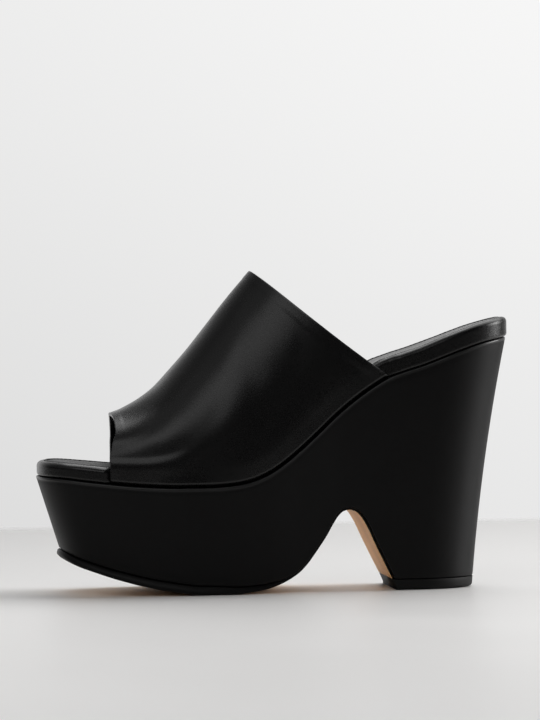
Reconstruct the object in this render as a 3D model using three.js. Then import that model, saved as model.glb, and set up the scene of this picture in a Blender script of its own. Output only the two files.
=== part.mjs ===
// An open-toed platform mule with a high wedge heel, for the left foot, in millimetres.
// +Z is up and the floor is z = 0. The toe points along -X, the outer (lateral) side is -Y
// and the inner (medial) side is +Y. The origin is on the floor, at the middle of the shoe.
import * as THREE from 'three';

// Overall sizes
const SHOE_LENGTH = 231.6; // front of the platform to the back of the heel, along the floor
const BALL_WIDTH = 86; // platform's top edge, across the ball of the foot
const PLATFORM_HEIGHT = 51.8; // floor to the platform's top edge, under the ball
const HEEL_HEIGHT = 122.2; // floor to the platform's top edge, at the back

// Platform walls
const TOE_LEAN = 17.8; // how far the front wall comes back on its way down to the floor
const HEEL_LEAN = 18.2; // how far the back wall comes forward on its way down to the floor
const HEEL_BOW = 2; // how far the back wall is hollowed in the middle of its height
const HEEL_BOW_FROM = 0.7; // share of the length where the hollow begins
const TOE_CENTRE = 4; // the square toe's middle lies this far to the inner side

// Sole and heel cap
const SOLE_THICKNESS = 4.1; // under the ball
const SOLE_THIN = 0.9; // where the sole leather lines the arch
const SOLE_LIP = 2; // how far the sole's edge stands out round the toe
const SOLE_REVEAL = 2.4; // how far the arch lining stays inside the walls
const SOLE_NARROWS = [0.3, 0.56]; // shares of the length between which the lip ends
const CAP_THICKNESS = 5;
const CAP_BEVEL = 1.4;
const CAP_SLANT = 2.6; // how far the cap's front edge runs back towards the floor

// Footbed and its sock
const FOOTBED_THICKNESS = 9.4; // at the heel
const FOOTBED_REVEAL = 0.6; // platform's edge beyond the bare footbed
const FOOTBED_OVERHANG = 0.5; // footbed's edge beyond the platform at the very back
const OVERHANG_FROM = 0.88; // share of the length where the footbed's edge begins to come out
const FOOTBED_ROUND = 2.6;
const SOCK_THICKNESS = 1;
const SOCK_MARGIN = 3.2; // rim of the footbed round the sock

// Upper
const UPPER_WALL = 1.7;
const UPPER_REVEAL = 0.5; // platform's edge beyond the upper
const COLLAR_TOP = { x: -9.6, z: 155.8 }; // at the instep
const COLLAR_FOOT = { x: 54.4, z: 103.6 }; // where the edge meets the platform
const COLLAR_SAG = 1.8;
const GAP = 0.3; // between neighbouring pieces

// The platform's top edge from the side. along: share of the length; rise: share of the way
// from PLATFORM_HEIGHT to HEEL_HEIGHT.
const TOP_LINE = [
  { along: 0, rise: 0.077 },
  { along: 0.04, rise: 0.07 },
  { along: 0.1, rise: 0.047 },
  { along: 0.155, rise: 0.027 },
  { along: 0.21, rise: 0.011 },
  { along: 0.29, rise: 0 },
  { along: 0.35, rise: 0 },
  { along: 0.403, rise: 0.011 },
  { along: 0.435, rise: 0.03 },
  { along: 0.467, rise: 0.068 },
  { along: 0.498, rise: 0.125 },
  { along: 0.541, rise: 0.2315 },
  { along: 0.585, rise: 0.359 },
  { along: 0.628, rise: 0.488 },
  { along: 0.671, rise: 0.599 },
  { along: 0.703, rise: 0.67 },
  { along: 0.733, rise: 0.727 },
  { along: 0.766, rise: 0.768 },
  { along: 0.808, rise: 0.81 },
  { along: 0.866, rise: 0.881 },
  { along: 0.905, rise: 0.926 },
  { along: 0.946, rise: 0.967 },
  { along: 1, rise: 1 },
];

// The sole's underside from the side: toe spring, flat tread, arch, and the front of the heel.
// along: share of the length; up: share of PLATFORM_HEIGHT.
const UNDERSIDE = [
  { along: 0.01, up: 0.44 },
  { along: 0.039, up: 0.358 },
  { along: 0.08, up: 0.267 },
  { along: 0.112, up: 0.217 },
  { along: 0.144, up: 0.168 },
  { along: 0.18, up: 0.121 },
  { along: 0.222, up: 0.073 },
  { along: 0.26, up: 0.042 },
  { along: 0.296, up: 0.017 },
  { along: 0.331, up: 0 },
  { along: 0.4, up: 0 },
  { along: 0.44, up: 0.017 },
  { along: 0.469, up: 0.039 },
  { along: 0.497, up: 0.079 },
  { along: 0.533, up: 0.164 },
  { along: 0.555, up: 0.253 },
  { along: 0.571, up: 0.345 },
  { along: 0.586, up: 0.438 },
  { along: 0.6, up: 0.531 },
  { along: 0.612, up: 0.624 },
  { along: 0.625, up: 0.71 },
  { along: 0.636, up: 0.75 },
  { along: 0.648, up: 0.762 },
  { along: 0.66, up: 0.744 },
  { along: 0.671, up: 0.699 },
  { along: 0.684, up: 0.606 },
  { along: 0.7, up: 0.45 },
  { along: 0.717, up: 0.29 },
  { along: 0.749, up: 0 },
];

// The sole's thickness along the forefoot, as shares of SOLE_THICKNESS.
const SOLE_DEPTH = [
  { along: 0, depth: 0.8 },
  { along: 0.12, depth: 0.88 },
  { along: 0.24, depth: 1 },
  { along: 0.33, depth: 1 },
  { along: 0.4, depth: 0.85 },
  { along: 0.47, depth: 0.6 },
  { along: 0.53, depth: SOLE_THIN / SOLE_THICKNESS },
  { along: 1, depth: SOLE_THIN / SOLE_THICKNESS },
];

// The footbed's thickness, as shares of FOOTBED_THICKNESS.
const FOOTBED_DEPTH = [
  { along: 0, depth: 0.76 },
  { along: 0.15, depth: 0.83 },
  { along: 0.78, depth: 0.86 },
  { along: 1, depth: 1 },
];

// The platform's top edge from above. along: share of the length; lateral, medial: distances
// of the two sides from the middle line; lean: how far each side comes in on its way down to
// the floor. All three are shares of BALL_WIDTH.
const OUTLINE = [
  { along: 0, lateral: 0.3, medial: 0.37, lean: 0.05 },
  { along: 0.1, lateral: 0.395, medial: 0.435, lean: 0.045 },
  { along: 0.2, lateral: 0.463, medial: 0.483, lean: 0.042 },
  { along: 0.3, lateral: 0.497, medial: 0.5, lean: 0.04 },
  { along: 0.38, lateral: 0.5, medial: 0.472, lean: 0.038 },
  { along: 0.47, lateral: 0.475, medial: 0.415, lean: 0.034 },
  { along: 0.56, lateral: 0.43, medial: 0.362, lean: 0.03 },
  { along: 0.66, lateral: 0.387, medial: 0.334, lean: 0.028 },
  { along: 0.76, lateral: 0.37, medial: 0.338, lean: 0.03 },
  { along: 0.88, lateral: 0.364, medial: 0.352, lean: 0.032 },
  { along: 1, lateral: 0.352, medial: 0.347, lean: 0.034 },
];
// The two ends of that outline are rounded: over this share of the length, with this squareness.
const TOE_END = { share: 0.085, power: 2.8 };
const HEEL_END = { share: 0.15, power: 2.2 };
const END_START = 0.0006; // the ends are cut flat here, over a few millimetres of width

// The upper's sections. along: share of the length; ridge: height of the instep line above the
// floor, as a share of HEEL_HEIGHT; crest, side: how square the section is at its top and sides;
// shift: the instep line's distance to the inner side, as a share of BALL_WIDTH. The rows past the
// collar's top continue the last, and only their lower parts are used.
const SECTIONS = [
  { along: 0.126, ridge: 0.7, crest: 2.5, side: 2.2, shift: 0.05 },
  { along: 0.163, ridge: 0.7165, crest: 2.5, side: 2.2, shift: 0.05 },
  { along: 0.201, ridge: 0.749, crest: 2.4, side: 2.1, shift: 0.055 },
  { along: 0.244, ridge: 0.803, crest: 2.3, side: 2, shift: 0.06 },
  { along: 0.287, ridge: 0.889, crest: 2.2, side: 1.9, shift: 0.062 },
  { along: 0.33, ridge: 0.982, crest: 2.15, side: 1.8, shift: 0.062 },
  { along: 0.374, ridge: 1.086, crest: 2.1, side: 1.7, shift: 0.06 },
  { along: 0.417, ridge: 1.188, crest: 2.1, side: 1.65, shift: 0.055 },
  { along: 0.459, ridge: 1.277, crest: 2.1, side: 1.6, shift: 0.05 },
  { along: 0.6, ridge: 1.57, crest: 2.1, side: 1.6, shift: 0.03 },
  { along: 0.76, ridge: 1.9, crest: 2.1, side: 1.6, shift: 0 },
];
// The toe opening's edge, round the section from the lateral to the medial side.
const TOE_OPENING = [
  { around: 0, along: 0.1445 },
  { around: 0.12, along: 0.1445 },
  { around: 0.2, along: 0.149 },
  { around: 0.28, along: 0.159 },
  { around: 0.36, along: 0.159 },
  { around: 0.5, along: 0.157 },
  { around: 0.72, along: 0.165 },
  { around: 1, along: 0.168 },
];
const WALL_SHARE = 0.09; // share of the way round the section that is upright at each side

// Stations along the platform: up to this share of the length, in this many steps.
const STATION_RUNS = [
  { to: 0.09, steps: 8, ease: 'start' },
  { to: 0.5, steps: 16 },
  { to: 0.69, steps: 17 },
  { to: 'breast', steps: 6 },
  { to: 0.88, steps: 4 },
  { to: 1 - END_START, steps: 8, ease: 'end' },
];

const LATERAL = -1;
const MEDIAL = 1;
const mix = (a, b, t) => a + (b - a) * t;
const clamp = (x) => Math.min(1, Math.max(0, x));
const smooth = (x) => clamp(x) ** 2 * (3 - 2 * clamp(x));
const xAt = (along) => (along - 0.5) * SHOE_LENGTH;
const alongAt = (x) => x / SHOE_LENGTH + 0.5;

// A smooth line through a table's rows that never overshoots them.
function lineThrough(rows, from, to) {
  const xs = rows.map((row) => row[from]);
  const ys = rows.map((row) => row[to]);
  const last = rows.length - 1;
  const steps = xs.slice(1).map((x, i) => (ys[i + 1] - ys[i]) / (x - xs[i]));
  const slopes = xs.map((_, i) => {
    if (i === 0) return steps[0];
    if (i === last) return steps[last - 1];
    const [before, after] = [steps[i - 1], steps[i]];
    return before * after <= 0 ? 0 : (2 * before * after) / (before + after);
  });
  return (x) => {
    const i = Math.max(0, Math.min(last - 1, xs.findIndex((edge) => edge > x) - 1));
    const k = x >= xs[last] ? last - 1 : i;
    const width = xs[k + 1] - xs[k];
    const t = clamp((x - xs[k]) / width);
    return (
      ys[k] * (1 + 2 * t) * (1 - t) ** 2 +
      ys[k + 1] * t * t * (3 - 2 * t) +
      width * (slopes[k] * t * (1 - t) ** 2 - slopes[k + 1] * t * t * (1 - t))
    );
  };
}

const riseOf = lineThrough(TOP_LINE, 'along', 'rise');
const undersideOf = lineThrough(UNDERSIDE, 'along', 'up');
const soleDepthOf = lineThrough(SOLE_DEPTH, 'along', 'depth');
const footbedDepthOf = lineThrough(FOOTBED_DEPTH, 'along', 'depth');
const halfOf = {
  [LATERAL]: lineThrough(OUTLINE, 'along', 'lateral'),
  [MEDIAL]: lineThrough(OUTLINE, 'along', 'medial'),
};
const leanOf = lineThrough(OUTLINE, 'along', 'lean');
const ridgeOf = lineThrough(SECTIONS, 'along', 'ridge');
const crestOf = lineThrough(SECTIONS, 'along', 'crest');
const sideOf = lineThrough(SECTIONS, 'along', 'side');
const shiftOf = lineThrough(SECTIONS, 'along', 'shift');
const openingOf = lineThrough(TOE_OPENING, 'around', 'along');

// Height of the platform's top edge, and the slope there.
const topZ = (x) => mix(PLATFORM_HEIGHT, HEEL_HEIGHT, riseOf(alongAt(x)));
const slopeOf = (line, x) => (line(x + 0.5) - line(x - 0.5)) / 1;
const steepness = (line, x) => Math.hypot(1, slopeOf(line, x));

const undersideZ = (x) => PLATFORM_HEIGHT * undersideOf(alongAt(x));
const soleThickness = (x) => SOLE_THICKNESS * soleDepthOf(alongAt(x));
const soleTopZ = (x) => undersideZ(x) + soleThickness(x) * steepness(undersideZ, x);

// The wedge's lower edge: it follows the sole, and stands flat on the cap at the heel.
const HEEL_BASE = CAP_THICKNESS + GAP;
const ARCH_TOP = xAt(0.648);
function wedgeBottomZ(x) {
  const overSole = undersideZ(x) + (soleThickness(x) + GAP) * steepness(undersideZ, x);
  return x > ARCH_TOP ? Math.max(overSole, HEEL_BASE) : overSole;
}

// How far an outline has opened at a share of the length: 0 at its two ends, 1 between them.
function opened(along) {
  const end = (t, power) => (1 - (1 - clamp(t)) ** power) ** (1 / power);
  const toe = end(along / TOE_END.share, TOE_END.power);
  const heel = end((1 - along) / HEEL_END.share, HEEL_END.power);
  return toe * heel;
}

// A point of the platform's top outline, moved inwards by inset.
function outline(along, side, inset = 0) {
  const middle = along < 0.5 ? TOE_CENTRE : 0;
  const edge = side * (halfOf[side](along) * BALL_WIDTH - inset);
  return {
    x: xAt(along) + inset * (1 - 2 * along),
    y: middle + (edge - middle) * opened(along),
  };
}

// The platform's wall under that point, at a height z. It leans in towards the floor.
function wall(along, side, z, inset = 0) {
  const top = outline(along, side, inset);
  const down = 1 - z / topZ(top.x);
  const bow = HEEL_BOW * 4 * down * (1 - down) * smooth((along - HEEL_BOW_FROM) / (1 - HEEL_BOW_FROM));
  return {
    x: top.x + mix(TOE_LEAN, -HEEL_LEAN, along) * down - bow,
    y: top.y - side * leanOf(along) * BALL_WIDTH * down * opened(along),
  };
}

// The height where that wall crosses a line of the side view.
function crossing(along, line, inset = 0) {
  let z = line(outline(along, LATERAL, inset).x);
  for (let turn = 0; turn < 25; turn++) z = mix(z, line(wall(along, LATERAL, z, inset).x), 0.7);
  return z;
}

// The share of the length at which a wall stands at x, at a height z.
function alongOfWall(x, z) {
  let [low, high] = [0, 1];
  for (let turn = 0; turn < 40; turn++) {
    const middle = (low + high) / 2;
    if (wall(middle, LATERAL, z).x < x) low = middle;
    else high = middle;
  }
  return low;
}

// Where the wedge's lower edge turns from the arch on to the cap.
function breastX() {
  let [low, high] = [ARCH_TOP, xAt(0.8)];
  for (let turn = 0; turn < 40; turn++) {
    const middle = (low + high) / 2;
    if (wedgeBottomZ(middle) > HEEL_BASE) low = middle;
    else high = middle;
  }
  return low;
}
const BREAST_X = breastX();
const BREAST_ALONG = alongOfWall(BREAST_X, HEEL_BASE);

// The stations between two shares of the length, from the runs.
function stationsTo(end) {
  const list = [END_START];
  for (const { to, steps, ease } of STATION_RUNS) {
    const from = list[list.length - 1];
    const goal = to === 'breast' ? BREAST_ALONG : to;
    for (let i = 1; i <= steps; i++) {
      let t = i / steps;
      if (ease === 'start') t = 1 - Math.cos((t * Math.PI) / 2);
      if (ease === 'end') t = Math.sin((t * Math.PI) / 2);
      list.push(mix(from, goal, t));
    }
    if (goal >= end) return list;
  }
  return list;
}

// A closed block bent into a piece: each vertex of a box goes to place(i, j, k), the numbers of
// its steps along the shoe, across it and up.
function block(alongSteps, acrossSteps, upSteps, place) {
  const geometry = new THREE.BoxGeometry(1, 1, 1, alongSteps, acrossSteps, upSteps);
  const vertices = geometry.attributes.position;
  for (let i = 0; i < vertices.count; i++) {
    const step = (share, steps) => Math.round((share + 0.5) * steps);
    const point = place(
      step(vertices.getX(i), alongSteps),
      step(vertices.getY(i), acrossSteps),
      step(vertices.getZ(i), upSteps),
    );
    vertices.setXYZ(i, point.x, point.y, point.z);
  }
  geometry.computeVertexNormals();
  return geometry;
}

// A point between the lateral and the medial wall, at one station and height.
function between(lateral, medial, share, z) {
  return { x: mix(lateral.x, medial.x, share), y: mix(lateral.y, medial.y, share), z };
}

// The leather-covered wedge: platform, arch and heel in one.
function wedge() {
  const stations = stationsTo(1);
  const [across, up] = [4, 4];
  return block(stations.length - 1, across, up, (i, j, k) => {
    const along = stations[i];
    const top = topZ(outline(along, LATERAL).x);
    const z = mix(crossing(along, wedgeBottomZ), top, k / up);
    return between(wall(along, LATERAL, z), wall(along, MEDIAL, z), j / across, z);
  });
}

// The leather sole: a lip round the toe, full thickness under the tread, thin in the arch and
// down the front of the heel, where it ends on the cap.
function outsole() {
  const end = alongOfWall(BREAST_X, HEEL_BASE);
  const stations = stationsTo(end);
  const levels = [
    { share: 0, lip: 0.7 },
    { share: 0.2, lip: 1 },
    { share: 1, lip: 0.1 },
  ];
  const across = 4;
  return block(stations.length - 1, across, levels.length - 1, (i, j, k) => {
    const along = stations[i];
    const { share, lip } = levels[k];
    const [from, to] = SOLE_NARROWS;
    const inset = mix(-SOLE_LIP * lip, SOLE_REVEAL, smooth((along - from) / (to - from)));
    const line = (x) => Math.max(mix(undersideZ(x), soleTopZ(x), share), x > ARCH_TOP ? HEEL_BASE : 0);
    const z = crossing(along, line, inset);
    return between(wall(along, LATERAL, z, inset), wall(along, MEDIAL, z, inset), j / across, z);
  });
}

// The rubber cap under the heel, with a bevelled tread.
function heelCap() {
  const front = alongOfWall(BREAST_X - SOLE_THIN, CAP_THICKNESS);
  const back = stationsTo(1).filter((along) => along > BREAST_ALONG);
  const stations = [front, ...back];
  const levels = [
    { z: 0, inset: CAP_BEVEL },
    { z: CAP_BEVEL, inset: 0 },
    { z: CAP_THICKNESS, inset: 0 },
  ];
  const across = 6;
  return block(stations.length - 1, across, levels.length - 1, (i, j, k) => {
    const { z, inset } = levels[k];
    const along = stations[i];
    const slant = i === 0 ? CAP_SLANT * (1 - z / CAP_THICKNESS) : 0;
    const point = between(wall(along, LATERAL, z, inset), wall(along, MEDIAL, z, inset), j / across, z);
    return { ...point, x: point.x + slant };
  });
}

// How far the footbed stays inside the platform's edge: little at its two bare ends, and the
// upper's wall between them.
const UPPER_SPAN = [openingOf(0), alongAt(COLLAR_FOOT.x)];
function footbedInset(along) {
  const covered = UPPER_REVEAL + UPPER_WALL + GAP;
  const [from, to] = UPPER_SPAN;
  const under = smooth((along - from + 0.05) / 0.05) * smooth((to + 0.06 - along) / 0.06);
  const bare = mix(FOOTBED_REVEAL, -FOOTBED_OVERHANG, smooth((along - OVERHANG_FROM) / (1 - OVERHANG_FROM)));
  return mix(bare, covered, under);
}
const footbedThickness = (x) => FOOTBED_THICKNESS * footbedDepthOf(alongAt(x));
const footbedTopZ = (x) => topZ(x) + (GAP + footbedThickness(x)) * steepness(topZ, x);

// A puck that follows the footbed: levels from its underside up its side and on to its top.
function puck(levels) {
  const stations = stationsTo(1);
  const across = 2;
  return block(stations.length - 1, across, levels.length - 1, (i, j, k) => {
    const along = stations[i];
    const { inset, height } = levels[k];
    const lateral = outline(along, LATERAL, footbedInset(along) + inset);
    const medial = outline(along, MEDIAL, footbedInset(along) + inset);
    return between(lateral, medial, j / across, height(lateral.x));
  });
}

// The padded footbed: a rim with a rounded edge round a shallow bed for the sock.
function footbed() {
  const under = (x) => topZ(x) + GAP * steepness(topZ, x);
  const belowTop = (drop) => (x) => footbedTopZ(x) - drop;
  const rounded = [90, 60, 30, 0].map((degrees) => {
    const angle = THREE.MathUtils.degToRad(degrees);
    return {
      inset: FOOTBED_ROUND * (1 - Math.sin(angle)),
      height: belowTop(FOOTBED_ROUND * (1 - Math.cos(angle))),
    };
  });
  return puck([
    { inset: 0, height: under },
    ...rounded,
    { inset: SOCK_MARGIN, height: belowTop(0) },
    { inset: SOCK_MARGIN, height: belowTop(SOCK_THICKNESS) },
  ]);
}

// The sock leather on the footbed.
function sock() {
  const margin = SOCK_MARGIN + GAP;
  return puck([
    { inset: margin, height: (x) => footbedTopZ(x) - SOCK_THICKNESS + GAP },
    { inset: margin, height: (x) => footbedTopZ(x) + GAP },
  ]);
}

// The collar's edge from the side.
function collarZ(x) {
  const share = (x - COLLAR_TOP.x) / (COLLAR_FOOT.x - COLLAR_TOP.x);
  return mix(COLLAR_TOP.z, COLLAR_FOOT.z, share) - COLLAR_SAG * 4 * share * (1 - share);
}

// A point on the outside of the last at x, a share of the way round from the lateral to the
// medial side: upright beside the footbed, then an arch over the foot.
function lastPoint(x, around) {
  const along = alongAt(x);
  const side = around < 0.5 ? LATERAL : MEDIAL;
  const edge = outline(along, side, UPPER_REVEAL).y;
  const floor = topZ(x) + GAP * steepness(topZ, x);
  const rim = footbedTopZ(x) - topZ(x);
  const way = Math.min(around, 1 - around);
  if (way < WALL_SHARE) return { x, y: edge, z: floor + (rim * way) / WALL_SHARE };
  const angle = (((way - WALL_SHARE) / (0.5 - WALL_SHARE)) * Math.PI) / 2;
  const middle = shiftOf(along) * BALL_WIDTH;
  const height = ridgeOf(along) * HEEL_HEIGHT - floor - rim;
  return {
    x,
    y: middle + (edge - middle) * Math.max(0, Math.cos(angle)) ** (2 / crestOf(along)),
    z: floor + rim + height * Math.sin(angle) ** (2 / sideOf(along)),
  };
}

// Where a line round the last reaches the collar's edge.
function collarX(around) {
  let [low, high] = [COLLAR_TOP.x - 4, COLLAR_FOOT.x + 4];
  for (let turn = 0; turn < 40; turn++) {
    const middle = (low + high) / 2;
    if (lastPoint(middle, around).z < collarZ(middle)) low = middle;
    else high = middle;
  }
  return low;
}

// A point on the upper's outside, from the toe opening to the collar and round the section.
function upperPoint(back, around) {
  return lastPoint(mix(xAt(openingOf(around)), collarX(around), back), around);
}

// The direction that points out of the upper there.
function upperNormal(back, around) {
  const step = 0.004;
  const vector = ({ x, y, z }) => new THREE.Vector3(x, y, z);
  const ahead = (b, a) => vector(upperPoint(clamp(b), clamp(a)));
  const alongUpper = ahead(back + step, around).sub(ahead(back - step, around));
  const aroundUpper = ahead(back, around + step).sub(ahead(back, around - step));
  return alongUpper.cross(aroundUpper).normalize();
}

// The upper: one wall of leather and lining, open at the toe, the back and underneath.
function upper() {
  const [backSteps, aroundSteps] = [22, 44];
  return block(backSteps, aroundSteps, 1, (i, j, k) => {
    const back = i / backSteps;
    const around = j / aroundSteps;
    const outside = upperPoint(back, around);
    if (k === 1) return outside;
    const normal = upperNormal(back, around);
    return {
      x: outside.x - normal.x * UPPER_WALL,
      y: outside.y - normal.y * UPPER_WALL,
      z: outside.z - normal.z * UPPER_WALL,
    };
  });
}

// Materials
const BLACK_LEATHER = { color: 0x151414, roughness: 0.45 };
const TAN_LEATHER = { color: 0xc39b77, roughness: 0.6 };
const BLACK_RUBBER = { color: 0x1a1a1a, roughness: 0.7 };

const PIECES = [
  { name: 'wedge', make: wedge, finish: BLACK_LEATHER },
  { name: 'outsole', make: outsole, finish: TAN_LEATHER },
  { name: 'heel_cap', make: heelCap, finish: BLACK_RUBBER },
  { name: 'footbed', make: footbed, finish: BLACK_LEATHER },
  { name: 'sock', make: sock, finish: BLACK_LEATHER },
  { name: 'upper', make: upper, finish: BLACK_LEATHER },
];

const shoe = new THREE.Group();
for (const { name, make, finish } of PIECES) {
  const piece = new THREE.Mesh(make(), new THREE.MeshStandardMaterial({ ...finish, metalness: 0 }));
  piece.name = name;
  shoe.add(piece);
}

export default shoe;
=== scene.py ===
"""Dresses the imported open-toed wedge mule: its leather, sole, stitching, floor and light.

Sizes are in millimetres and turned into metres where vertices are placed. The toe points
along -X, the outer (lateral) side is -Y and the floor is z = 0.
"""

import math
from bisect import bisect_right

import bmesh
import bpy
from mathutils import Matrix, Quaternion, Vector, noise


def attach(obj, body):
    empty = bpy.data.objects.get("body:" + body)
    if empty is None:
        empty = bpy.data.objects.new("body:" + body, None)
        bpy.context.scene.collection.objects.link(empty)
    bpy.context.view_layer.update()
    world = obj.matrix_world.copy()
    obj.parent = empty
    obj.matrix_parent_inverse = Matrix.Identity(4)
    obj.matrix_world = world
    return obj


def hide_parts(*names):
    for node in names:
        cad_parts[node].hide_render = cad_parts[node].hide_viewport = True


bl_info = {
    "name": "Wedge mule",
    "version": (1, 0, 0),
    "blender": (4, 5, 0),
    "location": "View3D > Sidebar > Mule",
    "description": "Leather, sole, stitching and studio for an open-toed wedge mule",
    "category": "Object",
}

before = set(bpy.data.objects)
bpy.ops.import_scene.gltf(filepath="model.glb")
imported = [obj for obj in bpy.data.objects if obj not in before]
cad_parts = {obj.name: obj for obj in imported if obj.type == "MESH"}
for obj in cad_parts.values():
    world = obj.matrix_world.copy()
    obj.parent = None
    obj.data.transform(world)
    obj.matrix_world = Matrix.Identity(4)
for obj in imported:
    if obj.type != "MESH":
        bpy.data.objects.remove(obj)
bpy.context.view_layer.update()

MM = 0.001
LATERAL = -1
MEDIAL = 1

# Sizes that follow the shoe's solids
SHOE_LENGTH = 231.6
BALL_WIDTH = 86
PLATFORM_HEIGHT = 51.8
HEEL_HEIGHT = 122.2
TOE_LEAN = 17.8
HEEL_LEAN = 18.2
HEEL_BOW = 2
HEEL_BOW_FROM = 0.7
TOE_CENTRE = 4
SOLE_THICKNESS = 4.1
SOLE_THIN = 0.9
SOLE_LIP = 2
SOLE_REVEAL = 2.4
SOLE_NARROWS = (0.3, 0.56)
CAP_THICKNESS = 5
CAP_BEVEL = 1.4
CAP_SLANT = 2.6
FOOTBED_THICKNESS = 9.4
FOOTBED_REVEAL = 0.6
FOOTBED_OVERHANG = 0.5
OVERHANG_FROM = 0.88
FOOTBED_ROUND = 2.8
LOWER_ROUND = 1.2
SOCK_THICKNESS = 1
SOCK_MARGIN = 3.2
UPPER_WALL = 1.7
UPPER_REVEAL = 0.5
COLLAR_TOP = (-9.6, 155.8)
COLLAR_FOOT = (54.7, 103.75)
COLLAR_SAG = 1.5
GAP = 0.3

# Wedge cover: rounding of its top and lower edge, and the fold's line under the top edge
EDGE_ROUND = 1.1
LOWER_EDGE_ROUND = 0.5
EDGE_LINE = 2.2
EDGE_LINE_DEPTH = 0.06
# Sock: its hollow in the middle and the share of it at the toe, then the lip and groove at its
# edge and how far it is sunk inside them
SOCK_CUP = 0.6
SOCK_CUP_TOE = 0.3
SOCK_CUP_GROWS = (0.4, 0.6)
SOCK_LIP = 0.14
SOCK_SUNK = 0.28
STITCH_GROOVE = 0.5
STITCH_SUNK = 0.1
STITCH_RADII = (0.32, 0.26)
# How far the footbed tips to the inner side, and the shares of the length where that sets in,
# where it grows on the inner side and where it ends there
FOOTBED_TWIST = 0.9
TWIST_SETS_IN = (0.55, 0.67)
TWIST_GROWS = (0.79, 0.87)
TWIST_ENDS = (0.99, 0.93)
TWIST_INNER = 0.6
TWIST_WIDTH = 0.72
# Upper: its lower edge turns in by the tuck, over a share of its upright wall. Folds and
# unevenness grow over shares of that wall, and folds end at a share of the way to the ridge.
UPPER_TUCK = 1.5
TUCK_SHARE = 0.24
FOLDS_GROW = 0.7
UNEVEN_GROWS = 1.3
FOLDS_END = 0.08
UPPER_EDGE_BEVEL = 0.42
# Weights of x, y and z that put the upper's points and faces in order
RANK_WEIGHTS = (0.83, 0.47, 0.29)
# Unevenness of the leather: waves per millimetre and height
UNEVEN = ((0.028, 0.3), (0.07, 0.1))

# Share of the length, and share of the way from PLATFORM_HEIGHT to HEEL_HEIGHT
TOP_LINE = (
    (0, 0.077), (0.04, 0.07), (0.1, 0.047), (0.155, 0.027), (0.21, 0.011), (0.29, 0), (0.35, 0),
    (0.403, 0.011), (0.435, 0.03), (0.467, 0.068), (0.498, 0.125), (0.541, 0.2315), (0.585, 0.359),
    (0.628, 0.488), (0.671, 0.599), (0.703, 0.67), (0.733, 0.727), (0.766, 0.768), (0.808, 0.81),
    (0.866, 0.881), (0.905, 0.926), (0.946, 0.967), (1, 1),
)
# Share of the length, and share of PLATFORM_HEIGHT
UNDERSIDE = (
    (0.01, 0.44), (0.039, 0.358), (0.08, 0.267), (0.112, 0.217), (0.144, 0.168), (0.18, 0.121),
    (0.222, 0.073), (0.26, 0.042), (0.296, 0.017), (0.331, 0), (0.4, 0), (0.44, 0.017),
    (0.469, 0.039), (0.497, 0.079), (0.533, 0.164), (0.555, 0.253), (0.571, 0.345), (0.586, 0.438),
    (0.6, 0.531), (0.612, 0.624), (0.625, 0.71), (0.636, 0.75), (0.648, 0.762), (0.66, 0.744),
    (0.671, 0.699), (0.684, 0.606), (0.7, 0.45), (0.717, 0.29), (0.749, 0),
)
# Share of the length; lateral and medial half widths and lean, as shares of BALL_WIDTH
OUTLINE = (
    (0, 0.3, 0.37, 0.05),
    (0.1, 0.395, 0.435, 0.045),
    (0.2, 0.463, 0.483, 0.042),
    (0.3, 0.497, 0.5, 0.04),
    (0.38, 0.5, 0.472, 0.038),
    (0.47, 0.475, 0.415, 0.034),
    (0.56, 0.43, 0.362, 0.03),
    (0.66, 0.387, 0.334, 0.028),
    (0.76, 0.37, 0.338, 0.03),
    (0.88, 0.364, 0.352, 0.032),
    (1, 0.352, 0.347, 0.034),
)
TOE_END = (0.085, 2.8)
HEEL_END = (0.15, 2.2)
END_START = 0.0006
# Share of the length, and share of SOLE_THICKNESS
SOLE_DEPTH = (
    (0, 0.8), (0.12, 0.88), (0.24, 1), (0.33, 1), (0.4, 0.85), (0.47, 0.6),
    (0.53, SOLE_THIN / SOLE_THICKNESS), (1, SOLE_THIN / SOLE_THICKNESS),
)
# The sole's edge, from below: share of its thickness, and share of SOLE_LIP that it stands out
SOLE_EDGE = ((0, 0.78), (0.04, 0.9), (0.14, 1), (0.3, 0.98), (0.7, 0.6), (0.92, 0.22), (1, 0.08))
# Share of the length, and share of FOOTBED_THICKNESS
FOOTBED_DEPTH = ((0, 0.76), (0.15, 0.83), (0.78, 0.86), (1, 1))
# Share of the length; ridge as a share of HEEL_HEIGHT; squareness at crest and sides; shift
SECTIONS = (
    (0.126, 0.7, 2.5, 2.2, 0.05),
    (0.163, 0.7165, 2.5, 2.2, 0.05),
    (0.201, 0.749, 2.4, 2.1, 0.055),
    (0.244, 0.803, 2.3, 2, 0.06),
    (0.287, 0.889, 2.2, 1.9, 0.062),
    (0.33, 0.982, 2.15, 1.8, 0.062),
    (0.374, 1.086, 2.1, 1.7, 0.06),
    (0.417, 1.188, 2.1, 1.65, 0.055),
    (0.459, 1.277, 2.1, 1.6, 0.05),
    (0.6, 1.57, 2.1, 1.6, 0.03),
    (0.76, 1.9, 2.1, 1.6, 0),
)
# Share of the way round, and share of the length
TOE_OPENING = (
    (0, 0.1445), (0.12, 0.1445), (0.2, 0.149), (0.28, 0.159), (0.36, 0.159), (0.5, 0.157),
    (0.72, 0.165), (1, 0.168),
)
WALL_SHARE = 0.09
BACK_STEPS = 130
AROUND_STEPS = 190

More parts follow.
